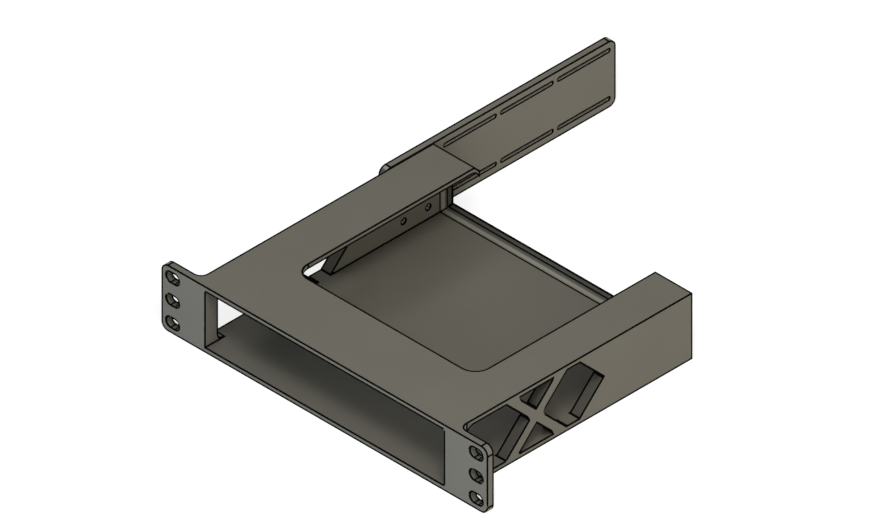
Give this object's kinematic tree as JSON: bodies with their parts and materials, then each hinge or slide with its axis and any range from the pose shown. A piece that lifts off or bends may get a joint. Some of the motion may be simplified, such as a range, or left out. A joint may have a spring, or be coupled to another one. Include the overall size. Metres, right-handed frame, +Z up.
{
  "type": "rack mount bracket",
  "caption": "Rack tray with slotted ears, a device bay open at the front, the top and the back, a lip round the rear opening, braced side cut-outs and a slotted side rail.",
  "frame": {"origin": "middle of the rack bolt pattern, on the back face of the ears where they bear on the rack's posts", "axes": "+X to the right along the front panel seen from the front, +Y towards the back of the rack, +Z up"},
  "size_m": [0.254, 0.328, 0.0446],
  "materials": {
    "tray_plastic": "satin warm grey, printed, with soft sheen on the roundings",
    "rail_plastic": "satin warm grey, as the tray",
    "screw_steel": "black oxide",
    "insert_brass": "turned brass"
  },
  "bodies": {
    "root": {"tray_body": "tray_plastic", "side_rail": "rail_plastic", "rail_screws": "screw_steel", "rail_inserts": "insert_brass"}
  },
  "joints": []
}
